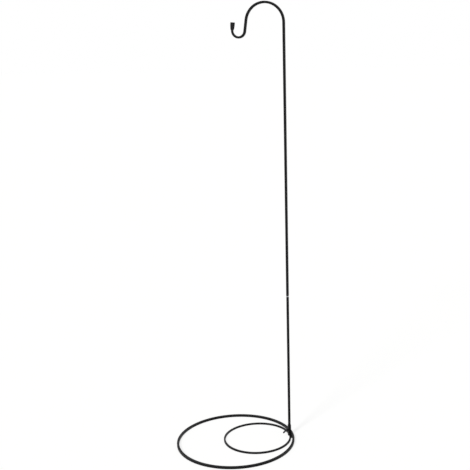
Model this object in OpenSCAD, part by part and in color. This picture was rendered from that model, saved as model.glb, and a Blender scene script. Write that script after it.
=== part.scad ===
// Hanging plant stand: a floor stand of bent square bar.
// Two flat rings make the base, and they meet where a square socket takes the pole.
// The pole comes in two sections that screw together, and the upper one is bent over
// into an arch and a small upturned hook for a plant hanger.
//
// Frame: the origin is the middle of the outer ring, on the floor. +Z is up, and the
// pole stands on the +X side. All sizes are in millimetres.

/* [Bar stock] */
// Side of the square bar of the pole and the outer ring
bar = 8; // [6:0.5:12]
// Side of the square bar of the inner ring
inner_bar = 6; // [4:0.5:10]
// Bevel that the rolled bar has along its four edges
edge_bevel = 0.5; // [0.2:0.1:0.8]
// Bevel round the cut ends of the pole sections
end_bevel = 0.8; // [0.4:0.1:1.2]

/* [Base rings] */
// Outside diameter of the outer ring
ring_d = 420; // [320:10:600]
// Outside diameter of the inner ring
inner_ring_d = 242; // [160:2:300]

/* [Socket] */
// Height of the socket above the floor
socket_h = 40; // [30:1:80]
// Wall of the socket tube
socket_wall = 1.2; // [0.8:0.1:2.5]
// Thickness of the plate that closes the socket's foot
socket_floor = 1.5; // [1:0.5:4]
// Clearance on each side of the pole in the socket
socket_play = 0.3; // [0.15:0.05:0.6]
// Length of the weld that fills the groove between the rings, from each side of the socket
weld_reach = 24; // [6:0.5:32]
// Leg of the small fillet welds round the socket
weld_leg = 3; // [2:0.5:5]

/* [Clamp screw] */
// Height of the clamp screw's axis above the floor
screw_z = 20; // [16:1:24]
// Length of the clamp screw under its wings
screw_len = 8; // [6:1:16]
// Distance over the tips of the two wings
wing_span = 21; // [18:1:34]
// Height of the wing head along the screw's axis
wing_h = 13; // [10:0.5:18]
// Thickness of each wing
wing_t = 2.4; // [1.5:0.1:4]
// Turn of the wings from upright when the screw is tight
wing_turn = 38; // [0:1:90]
// Width of the welded nut across its flats
nut_af = 8; // [7:0.5:10]
// Thickness of the welded nut
nut_h = 4; // [3:0.5:6]

/* [Pole and joint] */
// Height of the whole stand
stand_h = 1530; // [1000:10:2200]
// Height of the lower section's top end above the floor
joint_z = 525.5; // [300:0.5:800]
// Thread diameter of the joining stud and of the clamp screw
thread_d = 5; // [4:0.5:5.5]
// How far the joining stud goes into the lower section
stud_root = 15; // [10:1:30]
// How far the joining stud screws into the upper section
stud_grip = 12; // [8:1:30]
// Thickness of the bright spacer ring between the sections
spacer_h = 2.5; // [1:0.5:6]
// Outside diameter of the spacer ring
spacer_d = 8.5; // [7:0.5:12]

/* [Arch and hook] */
// Radius of the arch, to the middle of the bar
arch_r = 65; // [45:1:100]
// Angle that the arch turns through
arch_turn = 172; // [150:1:180]
// Straight drop from the arch to the hook
drop_len = 38; // [10:1:120]
// Radius of the hook, to the middle of the bar
curl_r = 22; // [15:0.5:40]
// Angle that the hook turns through, back up
curl_turn = 177; // [150:1:185]
// Side of the bar where the drawn-down hook ends
tip_bar = 6.6; // [5:0.1:8]
// Turn of the hook from the line over the rings' centres, where the stud comes tight
hook_turn = 28; // [0:1:180]

/* [Tip cap] */
// Length of the cap over the hook's end
cap_len = 25; // [15:1:40]
// Wall of the cap at its mouth
cap_wall = 1.2; // [1:0.1:3]
// Length of the cap's lead, over which it widens most
cap_lead = 8; // [4:1:14]
// How much wider the cap is at the end of its lead, on each side
cap_swell = 1.1; // [0:0.1:2]
// How much wider the cap is at its closed end, on each side
cap_flare = 1.7; // [0:0.1:2.5]
// Radius of the cap's corners and of the edges of its closed end, at most its wall
cap_round = 1; // [0.4:0.1:1.5]
// Thickness of the cap's closed end
cap_end = 2.5; // [1.5:0.5:5]

/* [Hidden] */
$fn = 96;

// Clearances of the fits
thread_play = 0.05;     // radial, between a thread and what it screws into
seat_gap = 0.02;        // between the socket's flat face and the ring's round one
bead_gap = 0.05;        // between a weld bead and the bars beside it
bead_foot = 1;          // height of the groove weld's underside above the floor
bead_crown = 0.6;       // how far the groove weld stands above the inner ring
cap_play = 0.05;        // between the tip of the bar and the cap, on each side
screw_gap = 0.2;        // between the clamp screw's point and the pole
rim_bevel = 0.3;        // round the socket's rim, outside
spacer_bevel = 0.25;    // round the spacer ring's outer edges
overcut = 1;            // how far a cut runs past the face it opens
tuck = 0.4;             // how far the drop starts inside the arch, so that they are one solid
tuck_play = 0.01;       // how far each side of the drop lies inside the arch's there

// Outer ring
ring_r = (ring_d - bar) / 2;
ring_face_r = ring_r - bar / 2;

// Socket, with its flat outer face against the inside of the outer ring
bore_w = bar + 2 * socket_play;
socket_w = bore_w + 2 * socket_wall;
pole_x = sqrt(pow(ring_face_r, 2) - pow(socket_w / 2, 2)) - socket_w / 2 - seat_gap;

// Inner ring, whose middle line runs through the socket
inner_r = (inner_ring_d - inner_bar) / 2;
inner_x = pole_x - inner_r;

// Clamp screw, measured out from the pole's axis
screw_tip = bar / 2 + screw_gap;
wing_base = screw_tip + screw_len;
hub_h = wing_h / 2;
hub_r = thread_d;
hub_top_r = 0.8 * hub_r;
screw_root = 0.8 * hub_h;
wing_tip_r = 3;
wing_root_r = 2.5;
nut_turned_r = 1.02 * nut_af / 2 / cos(30);
nut_face_r = 0.47 * nut_af;
nut_cone_h = (nut_turned_r - nut_face_r) * tan(30);

// Joint
upper_z = joint_z + spacer_h;
clear_hole_d = thread_d + 0.4;

// Arch and hook
arch_z = stand_h - bar / 2 - arch_r;
drop_bar = bar - 2 * tuck_play;
tip_len = cap_len - cap_end;
curl_steps = 36;

steel_black = [0.11, 0.11, 0.12];
zinc = [0.74, 0.75, 0.77];
rubber_black = [0.07, 0.07, 0.07];

// ---------------------------------------------------------------- bar stock

// Corners of the rolled bar's section, with its bevelled edges, anticlockwise
function bar_corners(w) =
    let (h = w / 2, e = h - edge_bevel)
    [[e, -h], [h, -e], [h, e], [e, h], [-e, h], [-h, e], [-h, -e], [-e, -h]];

module bar_section(w) {
    polygon(bar_corners(w));
}

// A straight length of bar that stands on z = 0
module bar_run(w, l) {
    linear_extrude(l)
        bar_section(w);
}

// What a bevel of size e takes off round the lower end of a bar that stands on z = 0
module bevel_cuts(w, e = end_bevel) {
    for (turn = [0 : 90 : 270])
        rotate([0, 0, turn])
            translate([w / 2, 0, 0])
                rotate([90, 0, 0])
                    linear_extrude(2 * w, center = true)
                        polygon([[-e - overcut, -overcut],
                                 [overcut, -overcut],
                                 [overcut, e + overcut]]);
}

// A bar rolled into a flat ring that lies on the floor
module bar_ring(r, w) {
    translate([0, 0, w / 2])
        rotate_extrude($fn = 180)
            translate([r, 0])
                bar_section(w);
}

// ---------------------------------------------------------------- base

// Outer ring: one length of bar, its ends butt-welded and ground flush
module outer_ring() {
    color(steel_black)
        bar_ring(ring_r, bar);
}

// Inner ring: an open ring whose two ends meet the sides of the socket
module inner_ring() {
    color(steel_black)
        difference() {
            translate([inner_x, 0, 0])
                bar_ring(inner_r, inner_bar);
            translate([pole_x - inner_bar, -socket_w / 2, -overcut])
                cube([2 * inner_bar, socket_w, inner_bar + 2 * overcut]);
        }
}

// Socket: a square tube with a closed foot, drilled for the clamp screw
module pole_socket() {
    color(steel_black)
        translate([pole_x, 0, 0])
            difference() {
                translate([-socket_w / 2, -socket_w / 2, 0])
                    cube([socket_w, socket_w, socket_h]);
                translate([-bore_w / 2, -bore_w / 2, socket_floor])
                    cube([bore_w, bore_w, socket_h]);
                translate([0, 0, socket_h])
                    mirror([0, 0, 1])
                        bevel_cuts(socket_w, rim_bevel);
                screw_axis()
                    cylinder(d = clear_hole_d, h = socket_w);
            }
}

// Puts z along the clamp screw, out from the pole's axis towards the rings' centres
module screw_axis() {
    translate([0, 0, screw_z])
        rotate([0, -90, 0])
            children();
}

// The groove between the two rings on one side of the socket, up to the weld's end
module weld_groove() {
    intersection() {
        translate([pole_x, socket_w / 2 + bead_gap])
            square([socket_w, weld_reach]);
        circle(r = ring_face_r - bead_gap, $fn = 180);
        difference() {
            square(2 * ring_d, center = true);
            translate([inner_x, 0])
                circle(r = inner_r + inner_bar / 2 + bead_gap, $fn = 180);
        }
    }
}

// Section of a fillet weld in the corner at the origin
module fillet_section() {
    polygon([[0, 0], [weld_leg, 0], [0, weld_leg]]);
}

// Weld beads: two in the groove between the rings, one from the outer ring's top to the
// socket, and one from each end of the inner ring up the socket's side
module weld_beads() {
    color(steel_black) {
        for (side = [0, 1])
            mirror([0, side, 0]) {
                translate([0, 0, bead_foot])
                    linear_extrude(inner_bar + bead_crown - bead_foot)
                        weld_groove();
                translate([pole_x + inner_bar / 2 - edge_bevel, socket_w / 2, inner_bar])
                    rotate([90, 0, -90])
                        mirror([1, 0, 0])
                            linear_extrude(inner_bar - 2 * edge_bevel)
                                fillet_section();
            }
        translate([pole_x + socket_w / 2, socket_w / 2 - edge_bevel, bar])
            rotate([90, 0, 0])
                linear_extrude(socket_w - 2 * edge_bevel)
                    fillet_section();
    }
}

// Nut: welded to the socket's inner side over the drilled hole. Its outer corners are turned
// off to a cone of 30 degrees.
module socket_nut() {
    color(steel_black)
        translate([pole_x, 0, 0])
            screw_axis()
                translate([0, 0, socket_w / 2])
                    difference() {
                        intersection() {
                            cylinder(d = nut_af / cos(30), h = nut_h, $fn = 6);
                            union() {
                                translate([0, 0, -overcut])
                                    cylinder(r = nut_turned_r, h = nut_h - nut_cone_h + overcut);
                                translate([0, 0, nut_h - nut_cone_h])
                                    cylinder(r1 = nut_turned_r, r2 = nut_face_r, h = nut_cone_h);
                            }
                        }
                        translate([0, 0, -overcut])
                            cylinder(d = thread_d + 2 * thread_play, h = nut_h + 2 * overcut);
                    }
}

// ---------------------------------------------------------------- clamp screw

// Threaded shank of the wing screw, with a bevelled point
module clamp_screw() {
    point = thread_d / 6;
    color(steel_black)
        translate([pole_x, 0, 0])
            screw_axis() {
                translate([0, 0, screw_tip])
                    cylinder(d1 = thread_d - 2 * point, d2 = thread_d, h = point);
                translate([0, 0, screw_tip + point])
                    cylinder(d = thread_d, h = screw_len - point + screw_root);
            }
}

// Outline of one wing: it leans outwards from the hub to a round tip
module wing_outline() {
    hull() {
        translate([hub_top_r - wing_root_r / 2, hub_h / 2])
            circle(wing_root_r, $fn = 32);
        translate([wing_span / 2 - wing_tip_r, wing_h - wing_tip_r])
            circle(wing_tip_r, $fn = 32);
    }
}

// Head of the wing screw: a tapered hub with two wings, cast round the shank
module screw_wings() {
    color(steel_black)
        translate([pole_x, 0, 0])
            screw_axis()
                translate([0, 0, wing_base])
                    difference() {
                        union() {
                            cylinder(r1 = hub_r, r2 = hub_top_r, h = hub_h);
                            rotate([0, 0, wing_turn])
                                for (side = [0, 180])
                                    rotate([90, 0, side])
                                        linear_extrude(wing_t, center = true)
                                            wing_outline();
                        }
                        translate([0, 0, -overcut])
                            cylinder(d = thread_d + 2 * thread_play, h = screw_root + overcut);
                    }
}

// ---------------------------------------------------------------- pole

// Lower section: stands in the socket, and its top end is drilled for the stud
module lower_pole() {
    l = joint_z - socket_floor;
    color(steel_black)
        translate([pole_x, 0, socket_floor])
            difference() {
                bar_run(bar, l);
                bevel_cuts(bar);
                translate([0, 0, l])
                    mirror([0, 0, 1])
                        bevel_cuts(bar);
                translate([0, 0, l - stud_root])
                    cylinder(d = thread_d + 2 * thread_play, h = stud_root + overcut);
            }
}

// Joining stud: threaded rod that is fixed in the lower section
module joining_stud() {
    point = thread_d / 8;
    l = stud_root + spacer_h + stud_grip;
    color(zinc)
        translate([pole_x, 0, joint_z - stud_root]) {
            cylinder(d = thread_d, h = l - point);
            translate([0, 0, l - point])
                cylinder(d1 = thread_d, d2 = thread_d - 2 * point, h = point);
        }
}

// Spacer ring: bright plated ring that both sections seat on, with bevelled outer edges
module spacer_ring() {
    r = spacer_d / 2;
    color(zinc)
        translate([pole_x, 0, joint_z])
            rotate_extrude()
                polygon([[clear_hole_d / 2, 0],
                         [r - spacer_bevel, 0],
                         [r, spacer_bevel],
                         [r, spacer_h - spacer_bevel],
                         [r - spacer_bevel, spacer_h],
                         [clear_hole_d / 2, spacer_h]]);
}

// Puts x along the hook's reach, with z still up the pole
module hook_plane() {
    translate([pole_x, 0, 0])
        rotate([0, 0, 180 - hook_turn])
            children();
}

// A bar that starts at the origin, heading up, and is bent over towards +x
module bend(r, turn) {
    translate([r, 0, 0])
        rotate([90, 0, 0])
            mirror([1, 0, 0])
                rotate_extrude(angle = turn, $fn = 180)
                    translate([r, 0])
                        bar_section(bar);
}

// Moves what follows such a bend to its end, and turns it to the bend's last heading.
// With both values negative the bend is one towards -x.
module past_bend(r, turn) {
    translate([r, 0, 0])
        rotate([0, turn, 0])
            translate([-r, 0, 0])
                children();
}

// Puts what follows at the end of the drop, where the hook's curl starts
module past_drop() {
    translate([0, 0, arch_z])
        past_bend(arch_r, arch_turn)
            translate([0, 0, drop_len])
                children();
}

// Corners of a bar of side w after a bend of radius r has turned it, and a straight run
// on from there
function turned_corners(r, turn, w, on = 0) =
    let (x = r - r * cos(turn) + on * sin(turn), z = r * sin(turn) + on * cos(turn))
    [for (c = bar_corners(w)) [x + c[0] * cos(turn), c[1], z - c[0] * sin(turn)]];

// Hook: the bar curls up again, away from the pole. It is drawn down evenly from its full
// size to that of the tip, and runs straight on inside the cap.
module curl() {
    rings = [
        for (i = [0 : curl_steps])
            let (t = i / curl_steps)
            turned_corners(-curl_r, -t * curl_turn, drop_bar + t * (tip_bar - drop_bar)),
        turned_corners(-curl_r, -curl_turn, tip_bar, tip_len)
    ];
    n = len(rings[0]);
    last = len(rings) - 1;
    sides = [
        for (i = [0 : last - 1], j = [0 : n - 1])
            let (a = i * n + j, b = i * n + (j + 1) % n)
            each [[a, b + n, b], [a, a + n, b + n]]
    ];
    start = [for (j = [0 : n - 1]) j];
    end = [for (j = [0 : n - 1]) last * n + n - 1 - j];
    polyhedron(points = [for (r = rings) each r], faces = concat([start, end], sides));
}

// Upper section: one bar that runs up from the joint, over the arch and into the hook
module upper_pole() {
    color(steel_black)
        hook_plane()
            difference() {
                union() {
                    translate([0, 0, upper_z])
                        bar_run(bar, arch_z - upper_z);
                    translate([0, 0, arch_z])
                        bend(arch_r, arch_turn);
                    past_drop()
                        translate([0, 0, -drop_len - tuck])
                            bar_run(drop_bar, drop_len + tuck);
                    past_drop()
                        curl();
                }
                translate([0, 0, upper_z])
                    bevel_cuts(bar);
                translate([0, 0, upper_z - overcut])
                    cylinder(d = thread_d + 2 * thread_play, h = stud_grip + 2 * overcut);
            }
}

// Tip cap: a moulded cap pushed over the hook's end. It widens quickly over its lead and then
// slowly up to its closed end.
module tip_cap() {
    mouth = tip_bar / 2 + cap_wall;
    corner = min(cap_round, cap_wall);
    bore = tip_bar + 2 * cap_play;
    color(rubber_black)
        hook_plane()
            past_drop()
                past_bend(-curl_r, -curl_turn)
                    difference() {
                        hull()
                            for (x = [-1, 1], y = [-1, 1]) {
                                translate([x * (mouth - corner), y * (mouth - corner), 0])
                                    cylinder(r = corner, h = corner, $fn = 24);
                                translate([x * (mouth + cap_swell - corner),
                                           y * (mouth + cap_swell - corner), cap_lead])
                                    cylinder(r = corner, h = corner, $fn = 24);
                                translate([x * (mouth + cap_flare - corner),
                                           y * (mouth + cap_flare - corner), cap_len - corner])
                                    sphere(corner, $fn = 24);
                            }
                        translate([-bore / 2, -bore / 2, -overcut])
                            cube([bore, bore, tip_len + overcut]);
                    }
}

outer_ring();
inner_ring();
pole_socket();
weld_beads();
socket_nut();
clamp_screw();
screw_wings();
lower_pole();
joining_stud();
spacer_ring();
upper_pole();
tip_cap();
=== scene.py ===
import math

import bmesh
import bpy
from mathutils import Matrix, Vector


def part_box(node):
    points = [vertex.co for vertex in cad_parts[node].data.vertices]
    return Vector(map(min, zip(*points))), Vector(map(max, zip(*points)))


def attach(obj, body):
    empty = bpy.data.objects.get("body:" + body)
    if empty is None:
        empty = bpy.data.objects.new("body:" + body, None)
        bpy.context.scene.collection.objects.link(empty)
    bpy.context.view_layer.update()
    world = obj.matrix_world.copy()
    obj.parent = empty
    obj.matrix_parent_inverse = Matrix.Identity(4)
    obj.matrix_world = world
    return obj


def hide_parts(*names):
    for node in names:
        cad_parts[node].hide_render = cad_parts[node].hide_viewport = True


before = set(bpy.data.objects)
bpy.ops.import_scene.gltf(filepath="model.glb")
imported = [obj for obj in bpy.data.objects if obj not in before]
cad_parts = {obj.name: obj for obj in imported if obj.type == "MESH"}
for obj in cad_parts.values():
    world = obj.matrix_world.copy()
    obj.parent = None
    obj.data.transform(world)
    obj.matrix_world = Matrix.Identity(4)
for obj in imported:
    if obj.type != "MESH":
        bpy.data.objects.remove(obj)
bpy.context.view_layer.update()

# ---------------------------------------------------------------- outer ring
# The big ring of the base: one length of square mild-steel bar, rolled flat on its side,
# its ends butt-welded and ground flush. The whole base is powder-coated black after welding.
mm = 0.001
full_circle = 2 * math.pi
bar_corner = 0.5 * mm  # the round that rolling leaves along the bar's edges
corner_steps = 4
outer_steps = 240
one_point = 0.001 * mm  # points nearer than this are one
black_coat = "#0a0a0b"
worn_coat = "#0f0f10"


def linear(hex_code):
    """The linear colour, with alpha, of an sRGB hex value."""
    shares = [int(hex_code[i : i + 2], 16) / 255 for i in (1, 3, 5)]
    return [s / 12.92 if s <= 0.04045 else ((s + 0.055) / 1.055) ** 2.4 for s in shares] + [1]


def add_node(tree, kind, settings=None, links=None):
    """Adds a node. Settings name its sockets or properties, and links its sockets."""
    node = tree.nodes.new("ShaderNode" + kind)
    for name, value in (settings or {}).items():
        if isinstance(name, int) or name in node.inputs:
            node.inputs[name].default_value = value
        else:
            setattr(node, name, value)
    for name, output in (links or {}).items():
        tree.links.new(output, node.inputs[name])
    return node


def new_material(name):
    """An empty material, and its node tree."""
    material = bpy.data.materials.new(name)
    material.use_nodes = True
    material.node_tree.nodes.clear()
    return material, material.node_tree


def powder_coat(name, peel_width, peel_depth, smoothest, roughest):
    """Polyester powder, sprayed dry and baked: a satin film whose skin flows into soft orange
    peel, with a finer grain in it. Its gloss drifts a little along the bar. As on the other
    finishes, each pattern keeps its real size, so that it shows from near by only."""
    drift_width = 30 * mm
    grain_width = 0.25 * mm
    grain_depth = 0.01 * mm
    material, tree = new_material(name)
    place = add_node(tree, "TexCoord").outputs["Object"]
    drift = add_node(tree, "TexNoise", {"Scale": 1 / drift_width, "Detail": 3}, {"Vector": place})
    peel = add_node(tree, "TexNoise", {"Scale": 1 / peel_width, "Detail": 1}, {"Vector": place})
    grain = add_node(tree, "TexNoise", {"Scale": 1 / grain_width, "Detail": 2}, {"Vector": place})
    tone = add_node(tree, "ValToRGB", links={"Fac": drift.outputs["Fac"]})
    tone.color_ramp.elements[0].color = linear(black_coat)
    tone.color_ramp.elements[1].color = linear(worn_coat)
    gloss = add_node(
        tree, "MapRange", {"To Min": smoothest, "To Max": roughest}, {"Value": drift.outputs["Fac"]}
    )
    peeled = add_node(
        tree, "Bump", {"Strength": 0.6, "Distance": peel_depth}, {"Height": peel.outputs["Fac"]}
    )
    grained = add_node(
        tree,
        "Bump",
        {"Strength": 0.35, "Distance": grain_depth},
        {"Height": grain.outputs["Fac"], "Normal": peeled.outputs["Normal"]},
    )
    coat = add_node(
        tree,
        "BsdfPrincipled",
        {"IOR": 1.5, "Specular IOR Level": 0.1},
        {
            "Base Color": tone.outputs["Color"],
            "Roughness": gloss.outputs["Result"],
            "Normal": grained.outputs["Normal"],
        },
    )
    add_node(tree, "OutputMaterial", links={"Surface": coat.outputs["BSDF"]})
    return material


def begin(name):
    """Names the primitive just added and opens it for editing, with all of it selected."""
    piece = bpy.context.object
    piece.name = piece.data.name = name
    bpy.ops.object.transform_apply(location=True, rotation=True, scale=True)
    bpy.ops.object.mode_set(mode="EDIT")
    bpy.ops.mesh.select_all(action="SELECT")
    return piece


def pick(piece, kind, wanted):
    """Selects the verts, edges or faces for which wanted says yes, and nothing else."""
    bpy.ops.mesh.select_mode(type=kind.upper()[:-1])
    bpy.ops.mesh.select_all(action="DESELECT")
    mesh = bmesh.from_edit_mesh(piece.data)
    for part in getattr(mesh, kind):
        if wanted(part):
            part.select_set(True)
    bmesh.update_edit_mesh(piece.data)


def bar_end(name, side, place, turn=(0, 0, 0), corner=bar_corner):
    """Starts a square bar: its end face at place, with round corners."""
    bpy.ops.object.select_all(action="DESELECT")
    bpy.ops.mesh.primitive_plane_add(size=side, location=place, rotation=turn)
    piece = begin(name)
    bpy.ops.mesh.bevel(
        offset=corner, offset_type="OFFSET", segments=corner_steps, affect="VERTICES"
    )
    return piece


def close(piece, sharp=35):
    """Ends the editing: one closed shell, smooth except at edges of over sharp degrees, and
    with its flat faces shaded flat."""
    bpy.ops.object.mode_set(mode="EDIT")
    bpy.ops.mesh.select_all(action="SELECT")
    bpy.ops.mesh.remove_doubles(threshold=one_point)
    bpy.ops.mesh.normals_make_consistent(inside=False)
    bpy.ops.object.mode_set(mode="OBJECT")
    bpy.ops.object.shade_smooth_by_angle(angle=math.radians(sharp))
    flats = piece.modifiers.new("flat_faces", "WEIGHTED_NORMAL")
    flats.keep_sharp = True
    bpy.ops.object.modifier_apply(modifier=flats.name)


bar_coat = powder_coat(
    "Satin black powder coat",
    peel_width=1.6 * mm,
    peel_depth=0.04 * mm,
    smoothest=0.36,
    roughest=0.5,
)

low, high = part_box("outer_ring")
bar = high.z - low.z
outer_ring = bar_end("outer_ring_bar", bar, (high.x - bar / 2, 0, bar / 2), (math.pi / 2, 0, 0))
bpy.ops.mesh.delete(type="ONLY_FACE")
bpy.ops.mesh.select_all(action="SELECT")
bpy.ops.mesh.spin(steps=outer_steps, angle=full_circle, center=(0, 0, 0), axis=(0, 0, 1))
close(outer_ring)
outer_ring.data.materials.append(bar_coat)
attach(outer_ring, "base")
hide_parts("outer_ring")

# ---------------------------------------------------------------- inner ring
# The small ring of the base, of lighter square bar. It stays open, and its two ends are
# cut to butt on the sides of the pole's socket, where they are welded.
inner_steps = 180
low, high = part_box("inner_ring")
socket_low, socket_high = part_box("pole_socket")
inner_bar = high.z - low.z
inner_r = (high.y - low.y - inner_bar) / 2
inner_centre = Vector((low.x + inner_r + inner_bar / 2, 0, inner_bar / 2))
cut_y = socket_high.y
spare = math.asin(cut_y / 2 / inner_r)  # the bar starts inside the cut, to be trimmed to it
start = inner_centre + inner_r * Vector((math.cos(spare), math.sin(spare), 0))


def near_cut(face, side):
    """Whether a face of the inner ring lies on the pole's half of it, on this side."""
    middle = face.calc_center_median()
    return middle.x > inner_centre.x and middle.y * side > 0


inner_ring = bar_end("inner_ring_bar", inner_bar, start, (math.pi / 2, 0, spare))
bpy.ops.mesh.spin(
    steps=inner_steps,
    angle=full_circle - 2 * spare,
    center=inner_centre,
    axis=(0, 0, 1),
    use_auto_merge=False,
)
for side in (1, -1):
    pick(inner_ring, "faces", lambda f: near_cut(f, side))
    bpy.ops.mesh.bisect(
        plane_co=(0, side * cut_y, 0), plane_no=(0, side, 0), use_fill=True, clear_inner=True
    )
close(inner_ring)
inner_ring.data.materials.append(bar_coat)
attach(inner_ring, "base")
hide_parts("inner_ring")

# ---------------------------------------------------------------- socket
# The square tube that takes the pole, with a closed foot. Its side towards the rings'
# centres is drilled for the clamp screw, and its rim is broken by a file.
socket_wall = 1.2 * mm
socket_floor = 1.5 * mm
tube_corner = 1.6 * mm
rim_break = 0.3 * mm
screw_hole_d = 5.4 * mm
drill_sides = 32
screw_z = 20 * mm
socket_w = socket_high.x - socket_low.x
socket_h = socket_high.z - socket_low.z
pole_x = (socket_low.x + socket_high.x) / 2


def go_on(run, size=1):
    """Extrudes the selected end face by run and draws it to that share of its size."""
    bpy.ops.mesh.extrude_region_move(TRANSFORM_OT_translate={"value": run})
    if size != 1:
        mesh = bmesh.from_edit_mesh(bpy.context.object.data)
        ends = [v.co for v in mesh.verts if v.select]
        middle = sum(ends, Vector()) / len(ends)
        bpy.ops.transform.resize(value=(size, size, size), center_override=middle)


def cut_with(piece, tool, operation="DIFFERENCE"):
    """Cuts a piece with a tool, which is then thrown away."""
    bpy.ops.object.mode_set(mode="OBJECT")
    bpy.ops.object.select_all(action="DESELECT")
    piece.select_set(True)
    bpy.context.view_layer.objects.active = piece
    cut = piece.modifiers.new("cut", "BOOLEAN")
    cut.operation = operation
    cut.object = tool
    bpy.ops.object.modifier_apply(modifier=cut.name)
    bpy.data.objects.remove(tool)


def drill(piece, d, depth, place, turn=(0, 0, 0)):
    """Drills a round hole whose middle is at place."""
    bpy.ops.object.mode_set(mode="OBJECT")
    bpy.ops.object.select_all(action="DESELECT")
    bpy.ops.mesh.primitive_cylinder_add(
        vertices=drill_sides, radius=d / 2, depth=depth, location=place, rotation=turn
    )
    cut_with(piece, bpy.context.object)


socket = bar_end("socket_tube", socket_w, (pole_x, 0, 0), corner=tube_corner)
go_on((0, 0, socket_h))
bpy.ops.mesh.inset(thickness=socket_wall)
go_on((0, 0, socket_floor - socket_h))
pick(socket, "edges", lambda e: all(v.co.z > socket_h - rim_break for v in e.verts))
bpy.ops.mesh.bevel(offset=rim_break, segments=2, affect="EDGES")
drill(socket, screw_hole_d, 2 * socket_wall, (socket_low.x, 0, screw_z), (0, math.pi / 2, 0))
close(socket)
socket.data.materials.append(bar_coat)
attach(socket, "base")
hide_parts("pole_socket")

# ---------------------------------------------------------------- welded nut
# A plain hexagon nut, welded over the socket's hole before coating, so that the clamp screw
# has a full thread to run in. Its outer corners are turned off to a 30 degree cone.
nut_low, nut_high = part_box("socket_nut")
nut_h = nut_high.x - nut_low.x
nut_af = nut_high.y - nut_low.y
nut_corner_r = nut_af / 2 / math.cos(math.pi / 6)
nut_face_r = 0.47 * nut_af
nut_cone_h = (nut_corner_r - nut_face_r) * math.tan(math.pi / 6)
thread_d = 5 * mm
tap_d = thread_d + 0.1 * mm
turned_sides = 48
screw_axis = Matrix.Translation((pole_x, 0, screw_z)) @ Matrix.Rotation(-math.pi / 2, 4, "Y")


def disc(name, sides, r, z, middle=(0, 0)):
    """Starts a turned or hexagonal piece as a face that looks up at height z."""
    bpy.ops.object.select_all(action="DESELECT")
    bpy.ops.mesh.primitive_circle_add(
        vertices=sides, radius=r, fill_type="NGON", location=(*middle, z)
    )
    return begin(name)


def put(piece, place):
    """Moves a piece that was made upright at the origin to its place, in its mesh."""
    bpy.ops.object.select_all(action="DESELECT")
    piece.select_set(True)
    piece.matrix_world = place
    bpy.ops.object.transform_apply(location=True, rotation=True, scale=True)


blank = disc("turned_blank", turned_sides, nut_corner_r, socket_w / 2)
go_on((0, 0, nut_h - nut_cone_h))
go_on((0, 0, nut_cone_h), nut_face_r / nut_corner_r)
close(blank)
nut = disc("nut_on_socket", 6, nut_corner_r, socket_w / 2)
go_on((0, 0, nut_h))
cut_with(nut, blank, "INTERSECT")
drill(nut, tap_d, 4 * nut_h, (0, 0, socket_w / 2))
close(nut)
put(nut, screw_axis @ Matrix.Rotation(math.pi / 6, 4, "Z"))
nut.data.materials.append(bar_coat)
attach(nut, "base")
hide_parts("socket_nut")

# ---------------------------------------------------------------- weld beads
# Short gas-shielded welds that hold the base together: one fills the groove between the two
# rings on each side of the socket, one joins the outer ring's top to the socket, and one
# runs up each side of the socket from the inner ring. They are coated with the rest.
ripple = 1.25 * mm  # how far the weld pool moves on between two freezings
weld_leg = 3 * mm
weld_reach = 24 * mm
groove_foot = 1 * mm
groove_crown = 0.6 * mm
bite = 0.15 * mm  # how deep a bead melts into the bars beside it
bead_round = 0.42  # the share of a groove bead's width and height that each corner's round takes
bead_round_steps = 6
fillet_sides = 32
ring_face_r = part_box("outer_ring")[1].x - bar
inner_face_r = inner_r + inner_bar / 2


def ripples(run):
    """Shares of a bead's run, each with the size that the bead has there: small at both ends,
    and swelling quickly then sinking slowly in each ripple."""
    swells = (0.9, 1.0, 1.02, 0.97)
    count = round(run / ripple) * len(swells)
    ends = {0: 0.55, 1: 0.82, count - 1: 0.82, count: 0.5}
    return [(i / count, ends.get(i, swells[i % len(swells)])) for i in range(count + 1)]


def lay_bead(stations):
    """Carries the selected section through stations, each a place and a size on every axis."""
    here, size = stations[0]
    bpy.ops.transform.resize(value=size, center_override=here)
    for place, new_size in stations[1:]:
        bpy.ops.mesh.extrude_region_move(TRANSFORM_OT_translate={"value": place - here})
        growth = [new / old for new, old in zip(new_size, size)]
        bpy.ops.transform.resize(value=growth, center_override=place)
        here, size = place, new_size


def fillet_bead(corner, run, turn, sides):
    """A bead along the corner of two faces. Its section is the quarter of a disc, laid across
    the run by turn, that lies on both sides."""
    bpy.ops.object.select_all(action="DESELECT")
    bpy.ops.mesh.primitive_circle_add(
        vertices=fillet_sides, radius=weld_leg, fill_type="NGON", location=corner, rotation=turn
    )
    bead = begin("bead")
    for side in sides:
        bpy.ops.mesh.select_all(action="SELECT")
        bpy.ops.mesh.bisect(plane_co=corner - bite * side, plane_no=side, clear_inner=True)
    bpy.ops.mesh.select_all(action="SELECT")
    along = [abs(part) for part in run.normalized()]
    lay_bead(
        [
            (corner + share * run, [part + size * (1 - part) for part in along])
            for share, size in ripples(run.length)
        ]
    )
    close(bead)
    return bead


def groove_bead(side):
    """The bead between the two rings, from the socket's side outwards. It widens with the
    groove and stands above the inner ring in a round crown."""
    top = inner_bar + groove_crown
    stations = []
    for share, size in ripples(weld_reach):
        y = cut_y + share * weld_reach
        x_in = inner_centre.x + math.sqrt(inner_face_r**2 - y**2) - bite
        x_out = math.sqrt(ring_face_r**2 - y**2) + bite
        place = Vector(((x_in + x_out) / 2, side * y, (groove_foot + top) / 2))
        stations.append((place, (x_out - x_in, 1, (top - groove_foot) * size)))
    bpy.ops.object.select_all(action="DESELECT")
    bpy.ops.mesh.primitive_plane_add(size=1, location=stations[0][0], rotation=(math.pi / 2, 0, 0))
    bead = begin("bead")
    bpy.ops.mesh.bevel(offset=bead_round, segments=bead_round_steps, affect="VERTICES")
    lay_bead(stations)
    close(bead)
    return bead


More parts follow.
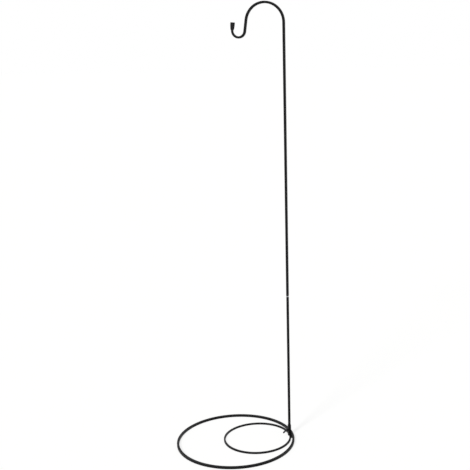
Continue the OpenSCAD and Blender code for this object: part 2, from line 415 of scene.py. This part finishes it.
up = Vector((0, 0, 1))
rim = socket_high.y - rim_break
beads = [
    groove_bead(1),
    groove_bead(-1),
    fillet_bead(
        Vector((socket_high.x, -rim, bar)),
        Vector((0, 2 * rim, 0)),
        (math.pi / 2, 0, 0),
        (Vector((1, 0, 0)), up),
    ),
]
for side in (1, -1):
    beads.append(
        fillet_bead(
            Vector((pole_x + inner_bar / 2 - rim_break, side * cut_y, inner_bar)),
            Vector((2 * rim_break - inner_bar, 0, 0)),
            (0, math.pi / 2, 0),
            (Vector((0, side, 0)), up),
        )
    )
bpy.ops.object.select_all(action="DESELECT")
for bead in beads:
    bead.select_set(True)
bpy.ops.object.join()
welds = bpy.context.object
welds.name = welds.data.name = "rippled_welds"
weld_coat = powder_coat(
    "Black powder coat on weld",
    peel_width=0.9 * mm,
    peel_depth=0.06 * mm,
    smoothest=0.3,
    roughest=0.42,
)
welds.data.materials.append(weld_coat)
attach(welds, "base")
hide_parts("weld_beads")

# ---------------------------------------------------------------- lower pole
# The lower section of the pole: a straight length of square bar, its cut ends bevelled on
# the linisher. It drops into the socket, and its top end is drilled and tapped for the stud.
end_bevel = 0.8 * mm
end_share = 1 - 2 * end_bevel / bar
stud_root = 15 * mm
low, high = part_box("lower_pole")
joint_z = high.z
lower_bar = bar_end("lower_bar", end_share * bar, (pole_x, 0, low.z), corner=end_share * bar_corner)
go_on((0, 0, end_bevel), 1 / end_share)
go_on((0, 0, joint_z - low.z - 2 * end_bevel))
go_on((0, 0, end_bevel), end_share)
drill(lower_bar, tap_d, 2 * stud_root, (pole_x, 0, joint_z))
close(lower_bar)
lower_bar.data.materials.append(bar_coat)
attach(lower_bar, "lower_section")
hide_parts("lower_pole")

# ---------------------------------------------------------------- joining stud
# A length of M5 threaded rod, its thread rolled, bright zinc-plated and fixed in the lower
# section. The upper section screws down on it.
thread_pitch = 0.8 * mm
thread_depth = 0.6134 * thread_pitch
thread_crest = thread_pitch / 8
thread_root = thread_pitch / 4
thread_steps = 24  # points in one turn of the thread
bright_zinc = "#b8bbbf"
dull_zinc = "#a2a5a9"


def zinc_plate(name):
    """Bright zinc on steel: a cool grey metal. Its gloss is broken by the fine rings of turning
    or rolling round the piece, and its tone by faint patches in the plating."""
    ring_width = 0.12 * mm
    ring_depth = 0.01 * mm
    along_ring = 0.1  # how little the rings change on their way round
    patch_width = 2 * mm
    material, tree = new_material(name)
    place = add_node(tree, "TexCoord").outputs["Object"]
    drawn = add_node(tree, "Mapping", {"Scale": (along_ring, along_ring, 1)}, {"Vector": place})
    rings = add_node(
        tree,
        "TexNoise",
        {"Scale": 1 / ring_width, "Detail": 3},
        {"Vector": drawn.outputs["Vector"]},
    )
    patches = add_node(tree, "TexNoise", {"Scale": 1 / patch_width, "Detail": 2}, {"Vector": place})
    tone = add_node(tree, "ValToRGB", links={"Fac": patches.outputs["Fac"]})
    tone.color_ramp.elements[0].color = linear(dull_zinc)
    tone.color_ramp.elements[1].color = linear(bright_zinc)
    gloss = add_node(
        tree, "MapRange", {"To Min": 0.18, "To Max": 0.32}, {"Value": patches.outputs["Fac"]}
    )
    turned = add_node(
        tree, "Bump", {"Strength": 0.3, "Distance": ring_depth}, {"Height": rings.outputs["Fac"]}
    )
    plate = add_node(
        tree,
        "BsdfPrincipled",
        {"Metallic": 1},
        {
            "Base Color": tone.outputs["Color"],
            "Roughness": gloss.outputs["Result"],
            "Normal": turned.outputs["Normal"],
        },
    )
    add_node(tree, "OutputMaterial", links={"Surface": plate.outputs["BSDF"]})
    return material


def threaded_rod(name, length, foot_point, head_point):
    """An M5 rod that stands on the origin, with a true helical thread. Its two ends are turned
    down to points of the given lengths."""
    lead_in = 1.4 * thread_pitch  # how far under the origin the thread starts
    spare_turns = 4  # turns beyond the length, so that the thread runs past both ends
    overlength = 0.15 * thread_pitch  # left on each end, for the turning to take off
    tooth_h = thread_pitch - thread_root
    tooth = Vector(((thread_d - thread_depth) / 2, 0, -lead_in))
    bpy.ops.object.select_all(action="DESELECT")
    bpy.ops.mesh.primitive_plane_add(size=1, location=tooth, rotation=(math.pi / 2, 0, 0))
    rod = begin(name)
    bpy.ops.transform.resize(value=(thread_depth, 1, tooth_h), center_override=tooth)
    pick(rod, "edges", lambda e: all(v.co.x > tooth.x for v in e.verts))
    bpy.ops.transform.resize(value=(1, 1, thread_crest / tooth_h), center_override=tooth)
    pick(rod, "edges", lambda e: all(v.co.x < tooth.x for v in e.verts))
    bpy.ops.mesh.delete(type="EDGE_FACE")
    pick(rod, "verts", lambda v: v.co.x < tooth.x and v.co.z > tooth.z)
    go_on((0, 0, thread_root))
    bpy.ops.object.mode_set(mode="OBJECT")
    helix = rod.modifiers.new("helix", "SCREW")
    helix.screw_offset = thread_pitch
    helix.iterations = math.ceil(length / thread_pitch) + spare_turns
    helix.steps = helix.render_steps = thread_steps
    bpy.ops.object.modifier_apply(modifier=helix.name)
    bpy.ops.object.mode_set(mode="EDIT")
    bpy.ops.mesh.select_all(action="SELECT")
    bpy.ops.mesh.remove_doubles(threshold=one_point)
    for z, way in ((-overlength, -1), (length + overlength, 1)):
        bpy.ops.mesh.select_all(action="SELECT")
        bpy.ops.mesh.bisect(
            plane_co=(0, 0, z), plane_no=(0, 0, way), use_fill=True, clear_outer=True
        )
    bpy.ops.mesh.select_all(action="SELECT")
    bpy.ops.mesh.normals_make_consistent(inside=False)
    bpy.ops.object.mode_set(mode="OBJECT")
    r = 0.51 * thread_d  # just clear of the thread's crests
    blank = disc("turned_blank", turned_sides, r - foot_point, 0)
    go_on((0, 0, foot_point), r / (r - foot_point))
    go_on((0, 0, length - foot_point - head_point))
    go_on((0, 0, head_point), (r - head_point) / r)
    close(blank)
    cut_with(rod, blank, "INTERSECT")
    close(rod, sharp=40)
    return rod


zinc = zinc_plate("Bright zinc plate")
stud_low, stud_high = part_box("joining_stud")
stud_len = stud_high.z - stud_low.z
stud = threaded_rod("threaded_stud", stud_len, foot_point=thread_d / 8, head_point=thread_d / 8)
put(stud, Matrix.Translation((pole_x, 0, stud_low.z)))
stud.data.materials.append(zinc)
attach(stud, "lower_section")
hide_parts("joining_stud")

# ---------------------------------------------------------------- spacer ring
# A turned steel ring, bright zinc-plated, that both sections of the pole seat on. It is the
# one bright line on the black pole.
spacer_break = 0.25 * mm
spacer_sides = 64
low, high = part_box("spacer_ring")
spacer_h = high.z - low.z
spacer = disc("bright_spacer", spacer_sides, (high.y - low.y) / 2, low.z, (pole_x, 0))
go_on((0, 0, spacer_h))
drill(spacer, screw_hole_d, 4 * spacer_h, (pole_x, 0, low.z))


def on_outer_rim(edge):
    """Whether an edge runs round the outside of one of the spacer's two faces."""
    near_bore = screw_hole_d / 2 + spacer_break
    out = [(v.co.xy - Vector((pole_x, 0))).length for v in edge.verts]
    return edge.calc_face_angle(0) > 1 and min(out) > near_bore


bpy.ops.object.mode_set(mode="EDIT")
pick(spacer, "edges", on_outer_rim)
bpy.ops.mesh.bevel(offset=spacer_break, segments=3, affect="EDGES")
close(spacer)
spacer.data.materials.append(zinc)
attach(spacer, "spacer")
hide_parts("spacer_ring")

# ---------------------------------------------------------------- upper pole
# The upper section: one length of square bar, bent hot over a former into the arch, with a
# straight drop, and then curled the other way into the hook, whose bar is drawn down evenly
# towards its tip. Its lower end is bevelled, drilled and tapped for the stud.
arch_r = 65 * mm
arch_turn = math.radians(172)
arch_steps = 90
drop_len = 38 * mm
curl_r = 22 * mm
curl_turn = math.radians(177)
curl_steps = 60
tip_bar = 6.6 * mm
tip_len = 22.5 * mm
hook_turn = math.radians(28)
stud_grip = 12 * mm
stud_spare = 1 * mm  # how much deeper than the stud its hole is
hook_plane = Matrix.Translation((pole_x, 0, 0)) @ Matrix.Rotation(math.pi - hook_turn, 4, "Z")


def heading(turn):
    """Where the bar runs after turn, in the hook's plane: x along its reach, z up."""
    return Vector((math.sin(turn), 0, math.cos(turn)))


low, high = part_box("upper_pole")
arch_centre = Vector((arch_r, 0, high.z - bar / 2 - arch_r))
drop_start = arch_centre - arch_r * heading(arch_turn + math.pi / 2)
curl_start = drop_start + drop_len * heading(arch_turn)
curl_centre = curl_start - curl_r * heading(arch_turn + math.pi / 2)
tip_turn = arch_turn - curl_turn
curl_end = curl_centre + curl_r * heading(tip_turn + math.pi / 2)
upper_bar = bar_end("upper_bar", end_share * bar, (0, 0, low.z), corner=end_share * bar_corner)
go_on((0, 0, end_bevel), 1 / end_share)
go_on((0, 0, arch_centre.z - low.z - end_bevel))
bpy.ops.mesh.spin(
    steps=arch_steps, angle=arch_turn, center=arch_centre, axis=(0, -1, 0), use_auto_merge=False
)
go_on(drop_len * heading(arch_turn))
for step in range(curl_steps):
    bpy.ops.mesh.spin(
        steps=1,
        angle=curl_turn / curl_steps,
        center=curl_centre,
        axis=(0, 1, 0),
        use_auto_merge=False,
    )
    drawn = [bar + (tip_bar - bar) * done / curl_steps for done in (step, step + 1)]
    go_on((0, 0, 0), drawn[1] / drawn[0])
go_on(tip_len * heading(tip_turn))
drill(upper_bar, tap_d, 2 * (stud_grip + stud_spare), (0, 0, low.z))
close(upper_bar)
put(upper_bar, hook_plane)
upper_bar.data.materials.append(bar_coat)
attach(upper_bar, "upper_section")
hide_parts("upper_pole")

# ---------------------------------------------------------------- tip cap
# A soft vinyl cap, moulded on a mandrel and pushed over the hook's tip so that it can't
# scratch. It is square like the bar, with round corners. It widens towards its closed end,
# most of it near its mouth.
cap_len = 25 * mm
cap_wall = 1.2 * mm
cap_flare = 1.7 * mm
cap_swell = 2.7  # how early the cap widens
cap_steps = 8
cap_corner = 1 * mm
cap_round = 1 * mm
cap_lip = 0.35 * mm
cap_play = 0.05 * mm
cap_black = "#1c1c1d"
cap_bloom = "#262627"


def moulded_vinyl(name):
    """Plasticised PVC, dip-moulded: matt and a little rubbery, with the fine grain of the
    mandrel's blasting and a faint grey bloom."""
    bloom_width = 6 * mm
    grit_width = 0.3 * mm
    grit_depth = 0.02 * mm
    material, tree = new_material(name)
    place = add_node(tree, "TexCoord").outputs["Object"]
    bloom = add_node(tree, "TexNoise", {"Scale": 1 / bloom_width, "Detail": 3}, {"Vector": place})
    grit = add_node(tree, "TexNoise", {"Scale": 1 / grit_width, "Detail": 2}, {"Vector": place})
    tone = add_node(tree, "ValToRGB", links={"Fac": bloom.outputs["Fac"]})
    tone.color_ramp.elements[0].color = linear(cap_black)
    tone.color_ramp.elements[1].color = linear(cap_bloom)
    grained = add_node(
        tree, "Bump", {"Strength": 0.5, "Distance": grit_depth}, {"Height": grit.outputs["Fac"]}
    )
    vinyl = add_node(
        tree,
        "BsdfPrincipled",
        {"IOR": 1.53, "Roughness": 0.6, "Specular IOR Level": 0.03},
        {"Base Color": tone.outputs["Color"], "Normal": grained.outputs["Normal"]},
    )
    add_node(tree, "OutputMaterial", links={"Surface": vinyl.outputs["BSDF"]})
    return material


mouth = tip_bar + 2 * cap_wall


def cap_side(step):
    """How wide the cap is after this many steps from its mouth."""
    return mouth + 2 * cap_flare * (1 - (1 - step / cap_steps) ** cap_swell)


def on_mouth_rim(edge):
    """Whether an edge runs round the outside of the cap's mouth."""
    return all(
        v.co.z < cap_lip
        and max(abs(v.co.x), abs(v.co.y)) > mouth / 2 - cap_corner
        and v.co.xy.length > tip_bar / 2 + cap_wall / 2
        for v in edge.verts
    )


cap = bar_end("vinyl_tip_cap", mouth, (0, 0, 0), corner=cap_corner)
for step in range(cap_steps):
    go_on((0, 0, cap_len / cap_steps), cap_side(step + 1) / cap_side(step))
pick(cap, "edges", lambda e: all(v.co.z > cap_len - cap_lip for v in e.verts))
bpy.ops.mesh.bevel(offset=cap_round, segments=5, affect="EDGES")
pick(cap, "faces", lambda f: all(v.co.z < cap_lip for v in f.verts))
go_on((0, 0, 0), (tip_bar + 2 * cap_play) / mouth)
go_on((0, 0, tip_len))
pick(cap, "edges", on_mouth_rim)
bpy.ops.mesh.bevel(offset=cap_lip, segments=3, affect="EDGES")
close(cap)
put(cap, hook_plane @ Matrix.Translation(curl_end) @ Matrix.Rotation(tip_turn, 4, "Y"))
cap.data.materials.append(moulded_vinyl("Black moulded vinyl"))
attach(cap, "upper_section")
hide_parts("tip_cap")

# ---------------------------------------------------------------- clamp screw
# The wing screw's shank: M5 rod, zinc-plated and black passivated, that runs through the
# nut and bears on the pole. Its point is turned to a short cone.
screw_gap = 0.2 * mm
screw_len = 8 * mm
wing_h = 13 * mm
screw_tip = bar / 2 + screw_gap
wing_base = screw_tip + screw_len
hub_h = wing_h / 2
screw_root = 0.8 * hub_h
dark_plate = "#17171a"
pale_plate = "#2b2b30"


def black_passivate(name, grit_width, grit_depth):
    """Zinc under a black chromate film: a dark, slightly metallic surface, with patchy
    gloss, over what the casting or the rolling left."""
    patch_width = 3 * mm
    material, tree = new_material(name)
    place = add_node(tree, "TexCoord").outputs["Object"]
    patches = add_node(tree, "TexNoise", {"Scale": 1 / patch_width, "Detail": 3}, {"Vector": place})
    grit = add_node(tree, "TexNoise", {"Scale": 1 / grit_width, "Detail": 2}, {"Vector": place})
    tone = add_node(tree, "ValToRGB", links={"Fac": patches.outputs["Fac"]})
    tone.color_ramp.elements[0].color = linear(dark_plate)
    tone.color_ramp.elements[1].color = linear(pale_plate)
    gloss = add_node(
        tree, "MapRange", {"To Min": 0.3, "To Max": 0.48}, {"Value": patches.outputs["Fac"]}
    )
    cast = add_node(
        tree, "Bump", {"Strength": 0.5, "Distance": grit_depth}, {"Height": grit.outputs["Fac"]}
    )
    film = add_node(
        tree,
        "BsdfPrincipled",
        {"Metallic": 0.5, "Specular IOR Level": 0.3},
        {
            "Base Color": tone.outputs["Color"],
            "Roughness": gloss.outputs["Result"],
            "Normal": cast.outputs["Normal"],
        },
    )
    add_node(tree, "OutputMaterial", links={"Surface": film.outputs["BSDF"]})
    return material


shank_len = screw_len + screw_root
shank = threaded_rod("threaded_shank", shank_len, foot_point=thread_d / 6, head_point=thread_d / 20)
put(shank, screw_axis @ Matrix.Translation((0, 0, screw_tip)))
shank.data.materials.append(
    black_passivate("Black passivated thread", grit_width=0.2 * mm, grit_depth=0.01 * mm)
)
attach(shank, "screw")
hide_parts("clamp_screw")

# ---------------------------------------------------------------- screw wings
# The head of the wing screw: a die-cast zinc hub with two leaning wings for finger and
# thumb, cast round the shank and black passivated. All its edges are soft from the die.
wing_span = 21 * mm
wing_t = 2.4 * mm
wing_tip_t = 0.85 * wing_t
wing_root_t = 1.25 * wing_t
wing_turn = math.radians(38)
wing_tip_r = 3 * mm
wing_root_r = 2.5 * mm
hub_r = thread_d
hub_top_r = 0.8 * hub_r
wing_sides = 32
die_grain = 0.25 * mm  # the finest form that the die leaves
die_softness = 6  # rounds of smoothing
wings = disc("cast_wings", turned_sides, hub_r, wing_base)
go_on((0, 0, hub_h), hub_top_r / hub_r)
bpy.ops.object.mode_set(mode="OBJECT")
castings = [wings]
for side in (1, -1):
    bpy.ops.object.select_all(action="DESELECT")
    root = Vector((side * (hub_top_r - wing_root_r / 2), 0, wing_base + hub_h / 2))
    tip = Vector((side * (wing_span / 2 - wing_tip_r), 0, wing_base + wing_h - wing_tip_r))
    bpy.ops.mesh.primitive_cylinder_add(
        vertices=wing_sides,
        radius=wing_root_r,
        depth=wing_root_t,
        location=root,
        rotation=(math.pi / 2, 0, 0),
    )
    wing = begin("wing")
    bpy.ops.mesh.primitive_cylinder_add(
        vertices=wing_sides,
        radius=wing_tip_r,
        depth=wing_tip_t,
        location=tip,
        rotation=(math.pi / 2, 0, 0),
    )
    bpy.ops.mesh.select_all(action="SELECT")
    bpy.ops.mesh.convex_hull()
    bpy.ops.object.mode_set(mode="OBJECT")
    castings.append(wing)
for casting in castings:
    casting.select_set(True)
bpy.context.view_layer.objects.active = wings
bpy.ops.object.join()
skin = wings.modifiers.new("skin", "REMESH")
skin.mode = "VOXEL"
skin.voxel_size = die_grain
bpy.ops.object.modifier_apply(modifier=skin.name)
soften = wings.modifiers.new("soften", "SMOOTH")
soften.iterations = die_softness
bpy.ops.object.modifier_apply(modifier=soften.name)
drill(wings, tap_d, 2 * screw_root, (0, 0, wing_base))
close(wings, sharp=60)
put(wings, screw_axis @ Matrix.Rotation(wing_turn, 4, "Z"))
wings.data.materials.append(
    black_passivate("Black passivated casting", grit_width=0.5 * mm, grit_depth=0.03 * mm)
)
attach(wings, "wings")
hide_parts("screw_wings")

# ---------------------------------------------------------------- floor and backdrop
# A plain white studio floor that runs on into a white backdrop. The camera and reflections
# see it at full white, and it keeps the stand's soft shadow.
floor_size = 60  # metres, so that its edge is far out of sight
floor_white = "#e6e6e4"
floor_evenness = 0.7  # the share of its white that the camera sees without light or shadow
even_white = 1.13  # with floor_evenness, brings the lit floor to full white
fill_light = 0.45  # what the backdrop gives the stand, where full white is 1


def seen_by_eye(tree):
    """1 for camera, mirror and see-through rays, and 0 for the rest."""
    rays = add_node(tree, "LightPath")
    seen = add_node(
        tree,
        "Math",
        {"operation": "MAXIMUM"},
        {0: rays.outputs["Is Camera Ray"], 1: rays.outputs["Is Glossy Ray"]},
    )
    return add_node(
        tree,
        "Math",
        {"operation": "MAXIMUM"},
        {0: seen.outputs[0], 1: rays.outputs["Is Transmission Ray"]},
    ).outputs[0]


paper, tree = new_material("White studio floor")
seen = seen_by_eye(tree)
matt = add_node(tree, "BsdfDiffuse", {"Color": linear(floor_white)})
even = add_node(tree, "Emission", {"Strength": even_white})
shown = add_node(tree, "MixShader", {0: floor_evenness}, {1: matt.outputs[0], 2: even.outputs[0]})
both = add_node(tree, "MixShader", links={0: seen, 1: matt.outputs[0], 2: shown.outputs[0]})
add_node(tree, "OutputMaterial", links={"Surface": both.outputs[0]})
bpy.ops.object.select_all(action="DESELECT")
bpy.ops.mesh.primitive_plane_add(size=floor_size)
floor = bpy.context.object
floor.name = "studio_floor"
floor.data.materials.append(paper)

world = bpy.data.worlds.new("White backdrop")
world.use_nodes = True
tree = world.node_tree
tree.nodes.clear()
level = add_node(
    tree, "MapRange", {"To Min": fill_light, "To Max": 1}, {"Value": seen_by_eye(tree)}
)
backdrop = add_node(
    tree, "Background", {"Color": (1, 1, 1, 1)}, {"Strength": level.outputs["Result"]}
)
add_node(tree, "OutputWorld", links={"Surface": backdrop.outputs[0]})
bpy.context.scene.world = world

# ---------------------------------------------------------------- lights
# One large soft key light, far off to the left, in front and above. The backdrop gives the
# rest, evenly from all sides.
key_place = Vector((-1.9, -2.2, 2.6))
key_aim = Vector((0.1, 0, 0.7))
key_softness = math.radians(12)
key_level = 2.6
bpy.ops.object.light_add(type="SUN", location=key_place)
key = bpy.context.object
key.name = "key_light"
key.data.energy = key_level
key.data.angle = key_softness
key.rotation_euler = (key_aim - key_place).to_track_quat("-Z", "Y").to_euler()

# ---------------------------------------------------------------- camera
# At standing eye height, about three metres away, with a moderate lens that looks down a
# little and past the stand on its right. Its shift brings the stand back to the middle.
camera_place = (-0.4159, -2.8933, 1.4347)
heading_right = math.radians(13.175)
tilt_down = math.radians(13.098)
roll = math.radians(-0.526)
picture = 470  # pixels, each way
focal_px = 880
sensor = 36  # mm, across
sideways = -0.149
bpy.ops.object.camera_add(location=camera_place)
camera = bpy.context.object
camera.name = "camera"
camera.data.sensor_width = sensor
camera.data.lens = focal_px / picture * sensor
camera.data.shift_x = sideways
camera.matrix_world = (
    Matrix.Translation(camera_place)
    @ Matrix.Rotation(-heading_right, 4, "Z")
    @ Matrix.Rotation(math.pi / 2 - tilt_down, 4, "X")
    @ Matrix.Rotation(roll, 4, "Z")
)
bpy.context.scene.camera = camera
bpy.context.scene.view_settings.view_transform = "Standard"
